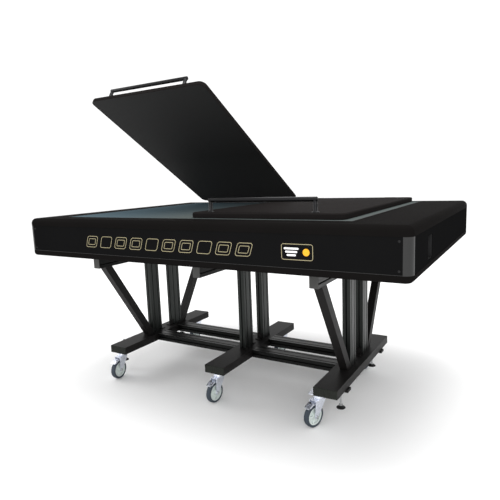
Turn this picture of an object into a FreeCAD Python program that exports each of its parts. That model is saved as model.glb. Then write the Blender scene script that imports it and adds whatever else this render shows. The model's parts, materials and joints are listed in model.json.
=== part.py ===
import FreeCAD, Part
import os
import re
import Sketcher

# A large-format flatbed scanner: a low black housing with a glass bed, two lids side by side
# hinged at the back, and a stand of three extruded frames on braked casters.
# Frame: +Z up, X along the front of the housing, Y from front to back, origin on the floor
# under the middle of the housing. All lengths are millimetres, all angles degrees.

DIMENSIONS = [
    # housing
    ("body_length", 2400), ("body_depth", 1684), ("body_bottom", 893), ("body_top", 1131),
    ("corner_radius", 38), ("top_edge_radius", 32), ("bottom_edge_radius", 20),
    ("pan_height", 34), ("surround_height", 46), ("sheet", 3), ("panel_sheet", 3),
    ("panel_inset", 2),
    # glass bed
    ("glass_left", -985), ("glass_right", 905), ("glass_front", -700), ("glass_back", 720),
    ("glass_sheet", 8), ("glass_margin", 1.5), ("support_width", 40), ("support_height", 12),
    # lids
    ("lid_left_edge", -968), ("lid_right_edge", 858), ("lid_split", -38), ("lid_split_gap", 10),
    ("lid_front", -663), ("lid_back", 748), ("lid_lift", 3), ("lid_height", 28),
    ("lid_corner", 42), ("lid_edge", 10), ("lid_sheet", 3), ("pad_sheet", 6), ("pad_recess", 1),
    ("lid_open_angle", 30.9),
    # lid handles
    ("handle_length", 622), ("handle_radius", 12), ("handle_rise", 65), ("handle_setback", 35),
    ("handle_shift", -18), ("post_radius", 11), ("post_inset", 12), ("shoe_radius", 19),
    ("shoe_height", 5),
    # lid hinges
    ("hinge_axis_y", 775), ("hinge_axis_rise", 18), ("hinge_inset", 170),
    ("knuckle_radius", 12), ("knuckle_width", 54), ("hinge_pin", 6), ("running_gap", 0.05),
    ("ear_sheet", 8), ("ear_gap", 1), ("hinge_base_depth", 50), ("hinge_base_sheet", 4),
    ("strap_sheet", 12),
    # connector recess in the right-hand end
    ("recess_front", -525), ("recess_width", 105), ("recess_bottom", 940), ("recess_height", 112),
    ("recess_depth", 60), ("recess_sheet", 2), ("socket_floor", 3),
    ("inlet_width", 30), ("inlet_height", 24), ("inlet_depth", 18), ("inlet_wall", 4),
    ("inlet_from_side", 12), ("inlet_from_base", 14), ("blade_length", 10), ("blade_sheet", 2),
    ("blade_height", 5), ("blade_pitch", 6), ("port_width", 16), ("port_height", 14),
    ("port_depth", 14), ("port_wall", 2), ("port_pitch", 24), ("port_from_top", 40),
    ("rocker_width", 18), ("rocker_height", 26), ("rocker_depth", 9), ("rocker_dish", 3),
    ("rocker_from_side", 20), ("rocker_standoff", 3), ("rocker_tilt", 7), ("bezel_gap", 1),
    ("bezel_wall", 3), ("bezel_depth", 6),
    # rear vents
    ("vent_count", 12), ("vent_pitch", 18), ("vent_width", 6), ("vent_height", 70),
    ("vent_offset", 640),
    # stand frames
    ("frame_left_x", -803), ("frame_middle_x", -5), ("frame_right_x", 702),
    ("stand_y", -50), ("bar_y", -64), ("bar_width", 134), ("bar_length", 950),
    ("bar_bottom", 185), ("bar_height", 48),
    ("cap_sheet", 10), ("cap_groove", 3), ("cap_groove_pitch", 12),
    ("cap_groove_count", 10), ("cap_margin", 4),
    ("profile_narrow", 48), ("profile_wide", 96), ("slot_width", 9), ("slot_depth", 11),
    ("core_radius", 8), ("column_offset", 115),
    ("brace_width", 48), ("brace_half", 30), ("brace_foot", 180), ("brace_top", 541),
    ("beam_half", 615), ("beam_cap_sheet", 4),
    # levelling feet, each in a bushed plate under an outer foot bar
    ("foot_front_y", -385), ("foot_rear_y", 265), ("foot_left_front", -109),
    ("foot_left_rear", -109), ("foot_right_front", 27), ("foot_right_rear", 5),
    ("foot_plate_left", -134), ("foot_plate_right", -25), ("left_plate_width", 134),
    ("right_plate_width", 102), ("foot_plate_depth", 50), ("foot_plate_sheet", 15),
    ("bush_radius", 10), ("bush_bottom", 148), ("stem_radius", 6), ("stem_clearance", 0.4),
    ("stem_top", 221), ("stem_room", 5), ("pad_radius", 25), ("pad_bottom", 63),
    ("pad_rim", 5), ("pad_cone", 12), ("pad_neck", 10), ("nut_radius", 11), ("nut_height", 6),
    # casters
    ("caster_front_y", -490), ("caster_rear_y", 380), ("caster_left_offset", -28),
    ("caster_middle_offset", -10), ("caster_right_offset", -60), ("caster_left_turn", -85),
    ("caster_middle_turn", -96), ("caster_right_turn", -110), ("wheel_radius", 62.5),
    ("tread_width", 32),
    ("rim_radius", 50), ("rim_width", 26), ("web_width", 12), ("web_radius", 42), ("hub_radius", 17),
    ("hub_width", 37), ("trail", 42), ("axle_radius", 5), ("axle_head", 9), ("axle_half", 31),
    ("leg_inside", 21), ("leg_sheet", 4), ("leg_end", 13), ("crown_bottom", 146),
    ("crown_sheet", 4), ("crown_back", -26), ("crown_front", 46), ("race_radius", 26),
    ("race_top", 172), ("kingpin", 8), ("kingpin_end", 151), ("plate_length", 90),
    ("plate_width", 86), ("plate_sheet", 6), ("top_race_radius", 29), ("race_gap", 0.5),
    # brake pedals, each on a pin between the fork's legs
    ("pedal_pivot_x", 34), ("pedal_pivot_z", 136), ("pedal_pin", 3), ("pedal_hub", 6),
    ("pedal_half", 18), ("pedal_knee", 60), ("pedal_knee_z", 139), ("pedal_end", 96),
    ("pedal_end_z", 120), ("pedal_sheet", 5), ("shoe_start", 50), ("shoe_end", 62),
    ("shoe_bottom", 126.5),
    # scanning carriage and its rails
    ("rail_offset", 640), ("rail_width", 30), ("rail_height", 24), ("rail_end", 1140),
    ("carriage_x", 1025), ("beam_depth_x", 150), ("beam_length_y", 1400), ("beam_height", 50),
    ("truck_length", 88), ("truck_width", 70), ("truck_height", 38), ("truck_gap", 0.5),
    ("truck_spacing", 45), ("camera_count", 4), ("camera_pitch", 330), ("camera_size", 84),
    ("camera_height", 62), ("lens_radius", 20), ("lens_height", 22), ("lamp_width", 22),
    ("lamp_height", 16), ("lamp_length", 1340), ("lamp_offset", 62), ("lamp_bracket", 52),
    # belt drive
    ("shaft_x", 1160), ("shaft_z", 920), ("shaft_radius", 8), ("shaft_half", 735),
    ("pulley_radius", 16), ("pulley_width", 18), ("flange_radius", 20), ("flange_sheet", 2),
    ("pulley_y", 712), ("belt_sheet", 2), ("belt_width", 14), ("belt_gap", 0.4),
    ("bearing_y", 600), ("bearing_sheet", 16), ("bearing_width", 40), ("motor_size", 40),
    ("motor_length", 76), ("motor_gap", 4),
    # electronics on the pan floor
    ("supply_x", 860), ("supply_y", -420), ("supply_length", 260), ("supply_width", 130),
    ("supply_height", 50), ("board_x", 780), ("board_y", -120), ("board_length", 300),
    ("board_width", 220), ("board_sheet", 2), ("board_lift", 10), ("standoff_radius", 4),
    ("standoff_inset", 12), ("chip_count", 3), ("chip_size", 40), ("chip_height", 8),
]

doc = FreeCAD.newDocument("FlatbedScanner")
sheet = doc.addObject("Spreadsheet::Sheet", "Dims")
for row, (alias, number) in enumerate(DIMENSIONS, start=1):
    sheet.set("A%d" % row, alias)
    sheet.set("B%d" % row, str(number))
    sheet.setAlias("B%d" % row, alias)
doc.recompute()

ALIASES = {alias for alias, number in DIMENSIONS}
FRAMES = ("frame_left_x", "frame_middle_x", "frame_right_x")
VECTOR = FreeCAD.Vector
TURN_TO = {"x": FreeCAD.Rotation(VECTOR(0, 1, 0), 90), "y": FreeCAD.Rotation(VECTOR(1, 0, 0), -90),
           "z": FreeCAD.Rotation()}
sub_parts = []


def value(alias):
    """The number that a sheet cell holds."""
    return float(sheet.get(alias))


def bind(target, prop, formula):
    """Bind a property to a formula written with the sheet's aliases."""
    def cell(match):
        word = match.group(0)
        return "Dims." + word if word in ALIASES else word
    target.setExpression(prop, re.sub(r"[a-z_]+", cell, formula))


def place(target, at):
    """Bind the base point of an object's placement."""
    for axis, formula in zip("xyz", at):
        bind(target, "Placement.Base." + axis, formula)


def box(label, size, at):
    """A block from its lowest corner."""
    block = doc.addObject("Part::Box", label)
    for prop, formula in zip(("Length", "Width", "Height"), size):
        bind(block, prop, formula)
    place(block, at)
    return block


def cylinder(label, radius, height, at, along="z", angle=None):
    """A cylinder that starts at a point and runs along an axis."""
    rod = doc.addObject("Part::Cylinder", label)
    bind(rod, "Radius", radius)
    bind(rod, "Height", height)
    if angle:
        bind(rod, "Angle", angle)
    rod.Placement = FreeCAD.Placement(VECTOR(), TURN_TO[along])
    place(rod, at)
    return rod


def cone(label, lower, upper, height, at):
    """An upright cone frustum."""
    frustum = doc.addObject("Part::Cone", label)
    bind(frustum, "Radius1", lower)
    bind(frustum, "Radius2", upper)
    bind(frustum, "Height", height)
    place(frustum, at)
    return frustum


def fuse(label, pieces):
    """Several touching shapes as one solid."""
    joined = doc.addObject("Part::MultiFuse", label)
    joined.Shapes = pieces
    return joined


def group(label, pieces):
    """Several separate solids as one node."""
    together = doc.addObject("Part::Compound", label)
    together.Links = pieces
    return together


def cut(label, base, tools):
    """A shape less one or more tools."""
    result = doc.addObject("Part::Cut", label)
    result.Base = base
    result.Tool = tools[0] if len(tools) == 1 else group(label + "_tools", tools)
    return result


def keep(node):
    """Note an object as one of the sub-parts to be written out."""
    sub_parts.append(node)
    return node


def origin_plane(body, role):
    """One of a body's own origin planes."""
    return next(feature for feature in body.Origin.OriginFeatures if feature.Role == role)


def polygon_body(label, role, points, depth):
    """A body padded from a closed polygon whose corners are bound to the sheet."""
    body = doc.addObject("PartDesign::Body", label)
    sketch = body.newObject("Sketcher::SketchObject", label + "_outline")
    sketch.AttachmentSupport = [(origin_plane(body, role), "")]
    sketch.MapMode = "FlatFace"
    count = len(points)
    numbers = []
    for point in points:
        corner = doc.addObject("Part::Vertex", label + "_corner")
        bind(corner, "X", point[0])
        bind(corner, "Y", point[1])
        corner.recompute()
        numbers.append((corner.X.Value, corner.Y.Value))
        doc.removeObject(corner.Name)
    for index in range(count):
        start = VECTOR(*numbers[index], 0)
        end = VECTOR(*numbers[(index + 1) % count], 0)
        sketch.addGeometry(Part.LineSegment(start, end), False)
    for index in range(count):
        sketch.addConstraint(Sketcher.Constraint("Coincident", index, 2, (index + 1) % count, 1))
    for index, point in enumerate(points):
        for kind, name, formula, number in zip(("DistanceX", "DistanceY"), "uv", point, numbers[index]):
            fixed = sketch.addConstraint(Sketcher.Constraint(kind, -1, 1, index, 1, number))
            sketch.renameConstraint(fixed, "%s%s" % (name, index))
            bind(sketch, "Constraints.%s%s" % (name, index), formula)
    pad = body.newObject("PartDesign::Pad", label + "_pad")
    pad.Profile = sketch
    bind(pad, "Length", depth)
    sketch.Visibility = False
    return body, pad


def upright_edges(shape):
    """Names of a shape's vertical straight edges."""
    names = []
    for index, edge in enumerate(shape.Edges, start=1):
        first, last = edge.Vertexes[0].Point, edge.Vertexes[-1].Point
        if abs(first.z - last.z) > 1 and abs(first.x - last.x) + abs(first.y - last.y) < 1e-6:
            names.append("Edge%d" % index)
    return names


def level_face(shape, highest):
    """Name of the highest or the lowest flat face."""
    heights = {face.CenterOfMass.z: index for index, face in enumerate(shape.Faces, start=1)}
    return "Face%d" % heights[max(heights) if highest else min(heights)]


def rounded_block(label, size, at, corner, top=None, bottom=None):
    """A block with rounded upright corners and, if asked, rounded top or bottom edges."""
    length, width, height = size
    half_x, half_y = "(%s)/2" % length, "(%s)/2" % width
    corners = [("-" + half_x, "-" + half_y), (half_x, "-" + half_y), (half_x, half_y), ("-" + half_x, half_y)]
    body, tip = polygon_body(label, "XY_Plane", corners, height)
    doc.recompute()
    fillet = body.newObject("PartDesign::Fillet", label + "_corners")
    fillet.Base = (tip, upright_edges(tip.Shape))
    bind(fillet, "Radius", corner)
    doc.recompute()
    tip = fillet
    for radius, highest, name in ((top, True, "_top"), (bottom, False, "_bottom")):
        if radius:
            edge = body.newObject("PartDesign::Fillet", label + name)
            edge.Base = (tip, [level_face(tip.Shape, highest)])
            bind(edge, "Radius", radius)
            doc.recompute()
            tip = edge
    place(body, at)
    return body


def slotted_bar(label, along, size, at):
    """A T-slot extrusion: two slots on each wide face, one on each narrow face, hollow cores."""
    sizes, corner = dict(zip("xyz", size)), dict(zip("xyz", at))
    across = [axis for axis in "xyz" if axis != along]
    tools = []
    for face, other in (across, across[::-1]):
        shares = ("0.25", "0.75") if sizes[other] == "profile_wide" else ("0.5",)
        for share in shares:
            for side in (corner[face], "%s + %s - slot_depth" % (corner[face], sizes[face])):
                groove_size, groove_at = dict(sizes), dict(corner)
                groove_size[face], groove_size[other] = "slot_depth", "slot_width"
                groove_at[face] = side
                groove_at[other] = "%s + %s*%s - slot_width/2" % (corner[other], sizes[other], share)
                tools.append(box(label + "_slot", [groove_size[a] for a in "xyz"],
                                 [groove_at[a] for a in "xyz"]))
    wide = next((axis for axis in across if sizes[axis] == "profile_wide"), across[0])
    narrow = next(axis for axis in across if axis != wide)
    for share in ("0.25", "0.75"):
        centre = dict(corner)
        centre[wide] = "%s + %s*%s" % (corner[wide], sizes[wide], share)
        centre[narrow] = "%s + %s/2" % (corner[narrow], sizes[narrow])
        tools.append(cylinder(label + "_core", "core_radius", sizes[along],
                              [centre[a] for a in "xyz"], along))
    return cut(label, box(label + "_billet", size, at), tools)


# ---------------------------------------------------------------- housing shells

def make_housing():
    """Pan, top surround, four flat panels and four rounded corner posts."""
    pan = rounded_block("pan_outside", ("body_length", "body_depth", "pan_height"),
                        ("0", "0", "body_bottom"), "corner_radius", bottom="bottom_edge_radius")
    pan_room = rounded_block("pan_inside",
                             ("body_length - 2*sheet", "body_depth - 2*sheet", "pan_height"),
                             ("0", "0", "body_bottom + sheet"), "corner_radius - sheet",
                             bottom="bottom_edge_radius - sheet")
    keep(cut("base_pan", pan, [pan_room]))

    cover = rounded_block("surround_outside", ("body_length", "body_depth", "surround_height"),
                          ("0", "0", "body_top - surround_height"), "corner_radius",
                          top="top_edge_radius")
    cover_room = rounded_block("surround_inside",
                               ("body_length - 2*sheet", "body_depth - 2*sheet", "surround_height"),
                               ("0", "0", "body_top - surround_height - sheet"),
                               "corner_radius - sheet", top="top_edge_radius - sheet")
    window = box("surround_window",
                 ("glass_right - glass_left", "glass_back - glass_front", "surround_height"),
                 ("glass_left", "glass_front", "body_top - surround_height/2"))
    ledge = box("ledge_outside",
                ("glass_right - glass_left + support_width", "glass_back - glass_front + support_width",
                 "support_height"),
                ("glass_left - support_width/2", "glass_front - support_width/2",
                 "body_top - glass_sheet - support_height"))
    ledge_opening = box("ledge_opening",
                        ("glass_right - glass_left - support_width",
                         "glass_back - glass_front - support_width", "2*support_height"),
                        ("glass_left + support_width/2", "glass_front + support_width/2",
                         "body_top - glass_sheet - 1.5*support_height"))
    riser = box("ledge_riser",
                ("glass_right - glass_left + support_width", "glass_back - glass_front + support_width",
                 "glass_sheet"),
                ("glass_left - support_width/2", "glass_front - support_width/2",
                 "body_top - glass_sheet"))
    riser_window = box("riser_window",
                       ("glass_right - glass_left", "glass_back - glass_front", "2*glass_sheet"),
                       ("glass_left", "glass_front", "body_top - 1.5*glass_sheet"))
    keep(fuse("top_surround", [cut("cover_sheet", cover, [cover_room, window]),
                               cut("glass_ledge", ledge, [ledge_opening]),
                               cut("ledge_wall", riser, [riser_window])]))

    panel_bottom = "body_bottom + pan_height"
    panel_rise = "body_top - surround_height - body_bottom - pan_height"
    front_span, side_span = "body_length - 2*corner_radius", "body_depth - 2*corner_radius"
    keep(box("front_panel", (front_span, "panel_sheet", panel_rise),
             ("corner_radius - body_length/2", "panel_inset - body_depth/2", panel_bottom)))
    back = box("rear_sheet", (front_span, "panel_sheet", panel_rise),
               ("corner_radius - body_length/2", "body_depth/2 - panel_inset - panel_sheet",
                panel_bottom))
    vents = []
    for side in ("-", ""):
        for index in range(int(value("vent_count"))):
            step = "(%d - (vent_count - 1)/2)*vent_pitch" % index
            vents.append(box("vent", ("vent_width", "3*panel_sheet", "vent_height"),
                             ("%svent_offset + %s - vent_width/2" % (side, step),
                              "body_depth/2 - panel_inset - 2*panel_sheet",
                              "(body_bottom + body_top)/2 - vent_height/2")))
    keep(cut("rear_panel", back, vents))
    left_end = box("left_end_panel", ("panel_sheet", side_span, panel_rise),
                   ("panel_inset - body_length/2", "corner_radius - body_depth/2", panel_bottom))
    end_sheet = box("right_sheet", ("panel_sheet", side_span, panel_rise),
                    ("body_length/2 - panel_inset - panel_sheet", "corner_radius - body_depth/2",
                     panel_bottom))
    mouth = box("recess_mouth", ("3*panel_sheet", "recess_width", "recess_height"),
                ("body_length/2 - panel_inset - 2*panel_sheet", "recess_front", "recess_bottom"))
    keep(group("end_panels", [left_end, cut("right_end_panel", end_sheet, [mouth])]))

    posts = []
    for turn, (sign_x, sign_y) in enumerate((("", ""), ("-", ""), ("-", "-"), ("", "-"))):
        at = ("%s(body_length/2 - corner_radius)" % sign_x,
              "%s(body_depth/2 - corner_radius)" % sign_y, panel_bottom)
        rounds = []
        for name, radius in (("post_outside", "corner_radius"), ("post_inside", "corner_radius - sheet")):
            rod = cylinder(name, radius, panel_rise, at, angle="90")
            rod.Placement = FreeCAD.Placement(VECTOR(), FreeCAD.Rotation(VECTOR(0, 0, 1), 90 * turn))
            place(rod, at)
            rounds.append(rod)
        posts.append(cut("corner_post_%d" % (turn + 1), rounds[0], rounds[1:]))
    keep(group("corner_posts", posts))


def make_glass():
    """The glass bed, flush with the surround and resting on its ledge."""
    keep(box("glass_plate",
             ("glass_right - glass_left - 2*glass_margin", "glass_back - glass_front - 2*glass_margin",
              "glass_sheet"),
             ("glass_left + glass_margin", "glass_front + glass_margin", "body_top - glass_sheet")))


# ---------------------------------------------------------------- lids, handles and hinges

def make_lid(side, left, right, open_angle):
    """One lid with its glossy pad, bar handle and hinge straps, swung up by an angle."""
    middle, width = "(%s + %s)/2" % (left, right), "%s - (%s)" % (right, left)
    middle_y, depth = "(lid_front + lid_back)/2", "lid_back - lid_front"
    bottom = "body_top + lid_lift"
    outside = rounded_block(side + "_lid_outside", (width, depth, "lid_height"),
                            (middle, middle_y, bottom), "lid_corner", top="lid_edge")
    inside = rounded_block(side + "_lid_inside",
                           (width + " - 2*lid_sheet", depth + " - 2*lid_sheet", "lid_height"),
                           (middle, middle_y, bottom + " - lid_sheet"),
                           "lid_corner - lid_sheet", top="lid_edge - lid_sheet")
    shell = cut(side + "_lid", outside, [inside])

    pad_block = rounded_block(side + "_lid_pad_block",
                              (width + " - 2*lid_sheet", depth + " - 2*lid_sheet", "pad_sheet"),
                              (middle, middle_y, bottom + " + pad_recess"),
                              "lid_corner - lid_sheet")
    pad = group(side + "_lid_pad", [pad_block])

    bar_y, lid_top = "lid_front + handle_setback", bottom + " + lid_height"
    bar_z = lid_top + " + handle_rise"
    bar_middle = middle + " + handle_shift"
    pieces = [cylinder(side + "_bar", "handle_radius", "handle_length",
                       (bar_middle + " - handle_length/2", bar_y, bar_z), "x")]
    for sign in ("-", "+"):
        post_x = "%s %s (handle_length/2 - post_inset)" % (bar_middle, sign)
        pieces.append(cylinder(side + "_post", "post_radius", "handle_rise", (post_x, bar_y, lid_top)))
        pieces.append(cylinder(side + "_shoe", "shoe_radius", "shoe_height", (post_x, bar_y, lid_top)))
    handle = fuse(side + "_handle", pieces)

    axis_z = "body_top + hinge_axis_rise"
    straps, ears = [], []
    for number, edge in enumerate((left + " + hinge_inset", right + " - hinge_inset"), start=1):
        knuckle = cylinder("knuckle", "knuckle_radius", "knuckle_width",
                           (edge + " - knuckle_width/2", "hinge_axis_y", axis_z), "x")
        bore = cylinder("knuckle_bore", "hinge_pin + running_gap", "2*knuckle_width",
                        (edge + " - knuckle_width", "hinge_axis_y", axis_z), "x")
        strap = box("strap", ("knuckle_width", "hinge_axis_y - lid_back", "strap_sheet"),
                    (edge + " - knuckle_width/2", "lid_back", axis_z + " - strap_sheet/2"))
        straps.append(cut("%s_strap_%d" % (side, number), fuse("strap_blank", [knuckle, strap]), [bore]))

        ear_span = "knuckle_width + 2*ear_gap + 2*ear_sheet"
        pieces = [box("hinge_base", (ear_span, "hinge_base_depth", "hinge_base_sheet"),
                      ("%s - (%s)/2" % (edge, ear_span), "hinge_axis_y - hinge_base_depth/2",
                       "body_top")),
                  cylinder("hinge_pin_rod", "hinge_pin", ear_span,
                           ("%s - (%s)/2" % (edge, ear_span), "hinge_axis_y", axis_z), "x")]
        for start in ("%s - (%s)/2" % (edge, ear_span), "%s + knuckle_width/2 + ear_gap" % edge):
            pieces.append(box("ear", ("ear_sheet", "2*knuckle_radius", "hinge_axis_rise"),
                              (start, "hinge_axis_y - knuckle_radius", "body_top")))
            pieces.append(cylinder("ear_round", "knuckle_radius", "ear_sheet",
                                   (start, "hinge_axis_y", axis_z), "x"))
        ears.append(fuse("%s_hinge_block_%d" % (side, number), pieces))
    arms = group(side + "_hinge_straps", straps)

    hinge_line = VECTOR(0, value("hinge_axis_y"), value("body_top") + value("hinge_axis_rise"))
    swing = FreeCAD.Rotation(VECTOR(-1, 0, 0), open_angle)
    for piece in (shell, pad, handle, arms):
        piece.Placement = FreeCAD.Placement(VECTOR(), swing, hinge_line)
        keep(piece)
    return ears


def make_lids():
    """Two lids that meet near the middle: the left one swung up, the right one shut."""
    ears = make_lid("left", "lid_left_edge", "lid_split - lid_split_gap/2", value("lid_open_angle"))
    ears += make_lid("right", "lid_split + lid_split_gap/2", "lid_right_edge", 0)
    keep(group("hinge_blocks", ears))


# ---------------------------------------------------------------- connector recess

def socket(label, size, wall, at):
    """A block with a well that opens towards +X."""
    depth, width, height = size
    block = box(label + "_block", size, at)
    well = box(label + "_well", (depth, "%s - 2*%s" % (width, wall), "%s - 2*%s" % (height, wall)),
               (at[0] + " + socket_floor", "%s + %s" % (at[1], wall), "%s + %s" % (at[2], wall)))
    return cut(label, block, [well])


def make_connectors():
    """An open pocket in the right-hand end: mains inlet, two data ports and a rocker switch."""
    inner_x = "body_length/2 - panel_inset - panel_sheet - recess_depth"
    wall_x = inner_x + " + recess_sheet"
    shell = box("pocket_outside", ("recess_depth", "recess_width + 2*recess_sheet",
                                   "recess_height + 2*recess_sheet"),
                (inner_x, "recess_front - recess_sheet", "recess_bottom - recess_sheet"))
    room = box("pocket_inside", ("recess_depth", "recess_width", "recess_height"),
               (wall_x, "recess_front", "recess_bottom"))
    pieces = [cut("pocket_shell", shell, [room])]

    inlet_y, inlet_z = "recess_front + inlet_from_side", "recess_bottom + inlet_from_base"
    pieces.append(socket("inlet", ("inlet_depth", "inlet_width", "inlet_height"), "inlet_wall",
                         (wall_x, inlet_y, inlet_z)))
    for step in (-1, 0, 1):
        pieces.append(box("inlet_blade", ("blade_length", "blade_sheet", "blade_height"),
                          (wall_x + " + socket_floor/2",
                           "%s + inlet_width/2 + (%d)*blade_pitch - blade_sheet/2" % (inlet_y, step),
                           inlet_z + " + inlet_height/2 - blade_height/2")))
    for index in range(2):
        port_y = "recess_front + recess_width/2 + (%d - 0.5)*port_pitch - port_width/2" % index
        pieces.append(socket("data_port", ("port_depth", "port_width", "port_height"), "port_wall",
                             (wall_x, port_y, "recess_bottom + recess_height - port_from_top")))

    rocker_y = "recess_front + recess_width - rocker_from_side - rocker_width"
    rocker_z = inlet_z + " + inlet_height/2"
    rim = "bezel_gap + bezel_wall"
    bezel = box("bezel_outside", ("bezel_depth", "rocker_width + 2*(%s)" % rim,
                                  "rocker_height + 2*(%s)" % rim),
                (wall_x, "%s - (%s)" % (rocker_y, rim), "%s - rocker_height/2 - (%s)" % (rocker_z, rim)))
    hole = box("bezel_hole", ("2*bezel_depth", "rocker_width + 2*bezel_gap", "rocker_height + 2*bezel_gap"),
               (wall_x, rocker_y + " - bezel_gap", rocker_z + " - rocker_height/2 - bezel_gap"))
    pieces.append(cut("bezel", bezel, [hole]))
    keep(fuse("connector_pocket", pieces))

    half = "(rocker_height/2 - bezel_gap)"
    outline = [("0", "-" + half), ("rocker_depth", "-" + half), ("rocker_depth - rocker_dish", "0"),
               ("rocker_depth", half), ("0", half)]
    rocker, rocker_pad = polygon_body("power_switch", "XZ_Plane", outline, "rocker_width")
    rocker.Placement = FreeCAD.Placement(VECTOR(), FreeCAD.Rotation(VECTOR(0, 1, 0), -value("rocker_tilt")))
    place(rocker, (wall_x + " + rocker_standoff", rocker_y + " + rocker_width", rocker_z))
    keep(rocker)


# ---------------------------------------------------------------- stand

def make_stand():
    """Three frames of foot bar, two columns and cross beam, tied by low stretchers."""
    bar_front, bar_back = "bar_y - bar_length/2", "bar_y + bar_length/2"
    bar_top = "bar_bottom + bar_height"
    beam_bottom = "body_bottom - profile_wide"
    bars, caps, columns, beams, braces, stretchers = [], [], [], [], [], []
    for frame in FRAMES:
        billet = box("foot_bar_billet", ("bar_width", "bar_length", "bar_height"),
                     (frame + " - bar_width/2", bar_front, "bar_bottom"))
        holes = [cylinder("stem_hole", "stem_radius + stem_clearance",
                          "stem_top + stem_room - bar_bottom", (at_x, at_y, "bar_bottom"))
                 for name, side, at_x, at_y in foot_places() if side == "right" and frame == FRAMES[2]]
        bars.append(cut("foot_bar", billet, holes) if holes else billet)
        for cap_y, face_y in ((bar_front + " - cap_sheet", bar_front + " - cap_sheet"),
                              (bar_back, bar_back + " + cap_sheet")):
            blank = box("cap_blank", ("bar_width", "cap_sheet", "bar_height"),
                        (frame + " - bar_width/2", cap_y, "bar_bottom"))
            grooves = []
            for index in range(int(value("cap_groove_count"))):
                step = "(%d - (cap_groove_count - 1)/2)*cap_groove_pitch" % index
                grooves.append(box("cap_groove_cut",
                                   ("cap_groove", "2*cap_groove", "bar_height - 2*cap_margin"),
                                   ("%s + %s - cap_groove/2" % (frame, step),
                                    face_y + " - cap_groove", "bar_bottom + cap_margin")))
            caps.append(cut("bar_end_cap", blank, grooves))
        for sign in ("-", "+"):
            columns.append(slotted_bar(
                "column", "z", ("profile_narrow", "profile_wide", beam_bottom + " - bar_bottom - bar_height"),
                (frame + " - profile_narrow/2", "stand_y %s column_offset - profile_wide/2" % sign, bar_top)))
        beams.append(slotted_bar("cross_beam", "y", ("profile_narrow", "2*beam_half", "profile_wide"),
                                 (frame + " - profile_narrow/2", "stand_y - beam_half", beam_bottom)))
        for end in ("stand_y - beam_half - beam_cap_sheet", "stand_y + beam_half"):
            caps.append(box("beam_cap", ("profile_narrow", "beam_cap_sheet", "profile_wide"),
                            (frame + " - profile_narrow/2", end, beam_bottom)))
    for first, second in zip(FRAMES, FRAMES[1:]):
        for sign in ("-", "+"):
            stretchers.append(slotted_bar(
                "stretcher", "x", ("%s - (%s) - bar_width" % (second, first), "profile_wide", "bar_height"),
                (first + " + bar_width/2", "stand_y %s column_offset - profile_wide/2" % sign,
                 "bar_bottom")))
    for frame in (FRAMES[0], FRAMES[2]):
        for sign in ("-", "+"):
            foot, top = "stand_y %s brace_foot" % sign, "stand_y %s brace_top" % sign
            outline = [(foot + " - brace_half", bar_top), (foot + " + brace_half", bar_top),
                       (top + " + brace_half", beam_bottom), (top + " - brace_half", beam_bottom)]
            brace, brace_pad = polygon_body("brace", "YZ_Plane", outline, "brace_width")
            place(brace, (frame + " - brace_width/2", "0", "0"))
            shade = box("column_space", ("2*profile_wide", "profile_wide", "2*profile_wide"),
                        (frame + " - profile_wide", "stand_y %s column_offset - profile_wide/2" % sign,
                         bar_top + " - profile_narrow"))
            braces.append(cut("diagonal_brace", brace, [shade]))
    for label, pieces in (("foot_bars", bars), ("bar_end_caps", caps), ("columns", columns),
                          ("cross_beams", beams), ("diagonal_braces", braces),
                          ("stretchers", stretchers)):
        keep(group(label, pieces))


def foot_places():
    """Where the four levelling feet stand: under the outer bars, clear of the casters' swing."""
    for side, frame in (("left", FRAMES[0]), ("right", FRAMES[2])):
        for end in ("front", "rear"):
            yield side + "_" + end, side, "%s + foot_%s_%s" % (frame, side, end), "foot_%s_y" % end


def make_feet():
    """Levelling feet: a pad and threaded stem in a bushed plate under the bar."""
    blocks = []
    for name, side, at_x, at_y in foot_places():
        frame = FRAMES[0] if side == "left" else FRAMES[2]
        plate = box("foot_plate", (side + "_plate_width", "foot_plate_depth", "foot_plate_sheet"),
                    ("%s + foot_plate_%s" % (frame, side), at_y + " - foot_plate_depth/2",
                     "bar_bottom - foot_plate_sheet"))
        bush = cylinder("foot_bush", "bush_radius", "bar_bottom - bush_bottom",
                        (at_x, at_y, "bush_bottom"))
        bore = cylinder("foot_bore", "stem_radius + stem_clearance", "2*bar_height",
                        (at_x, at_y, "bush_bottom - pad_rim"))
        blocks.append(cut("foot_block_" + name, fuse("foot_block_blank", [plate, bush]), [bore]))
        neck_z = "pad_bottom + pad_rim + pad_cone"
        keep(fuse("levelling_foot_" + name, [
            cylinder("pad_rim_disc", "pad_radius", "pad_rim", (at_x, at_y, "pad_bottom")),
            cone("pad_dome", "pad_radius", "pad_neck", "pad_cone", (at_x, at_y, "pad_bottom + pad_rim")),
            cylinder("stem", "stem_radius", "stem_top - (%s)" % neck_z, (at_x, at_y, neck_z)),
            cylinder("hex_flange", "nut_radius", "nut_height", (at_x, at_y, neck_z)),
        ]))
    keep(group("foot_blocks", blocks))


# ---------------------------------------------------------------- casters

def caster_places():
    """Swivel axes near both ends of every foot bar, and the way each caster is turned."""
    for side, frame in zip(("left", "middle", "right"), FRAMES):
        for end in ("front", "rear"):
            at_x = "%s + caster_%s_offset" % (frame, side)
            yield side + "_" + end, at_x, "caster_%s_y" % end, "caster_%s_turn" % side


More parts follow.
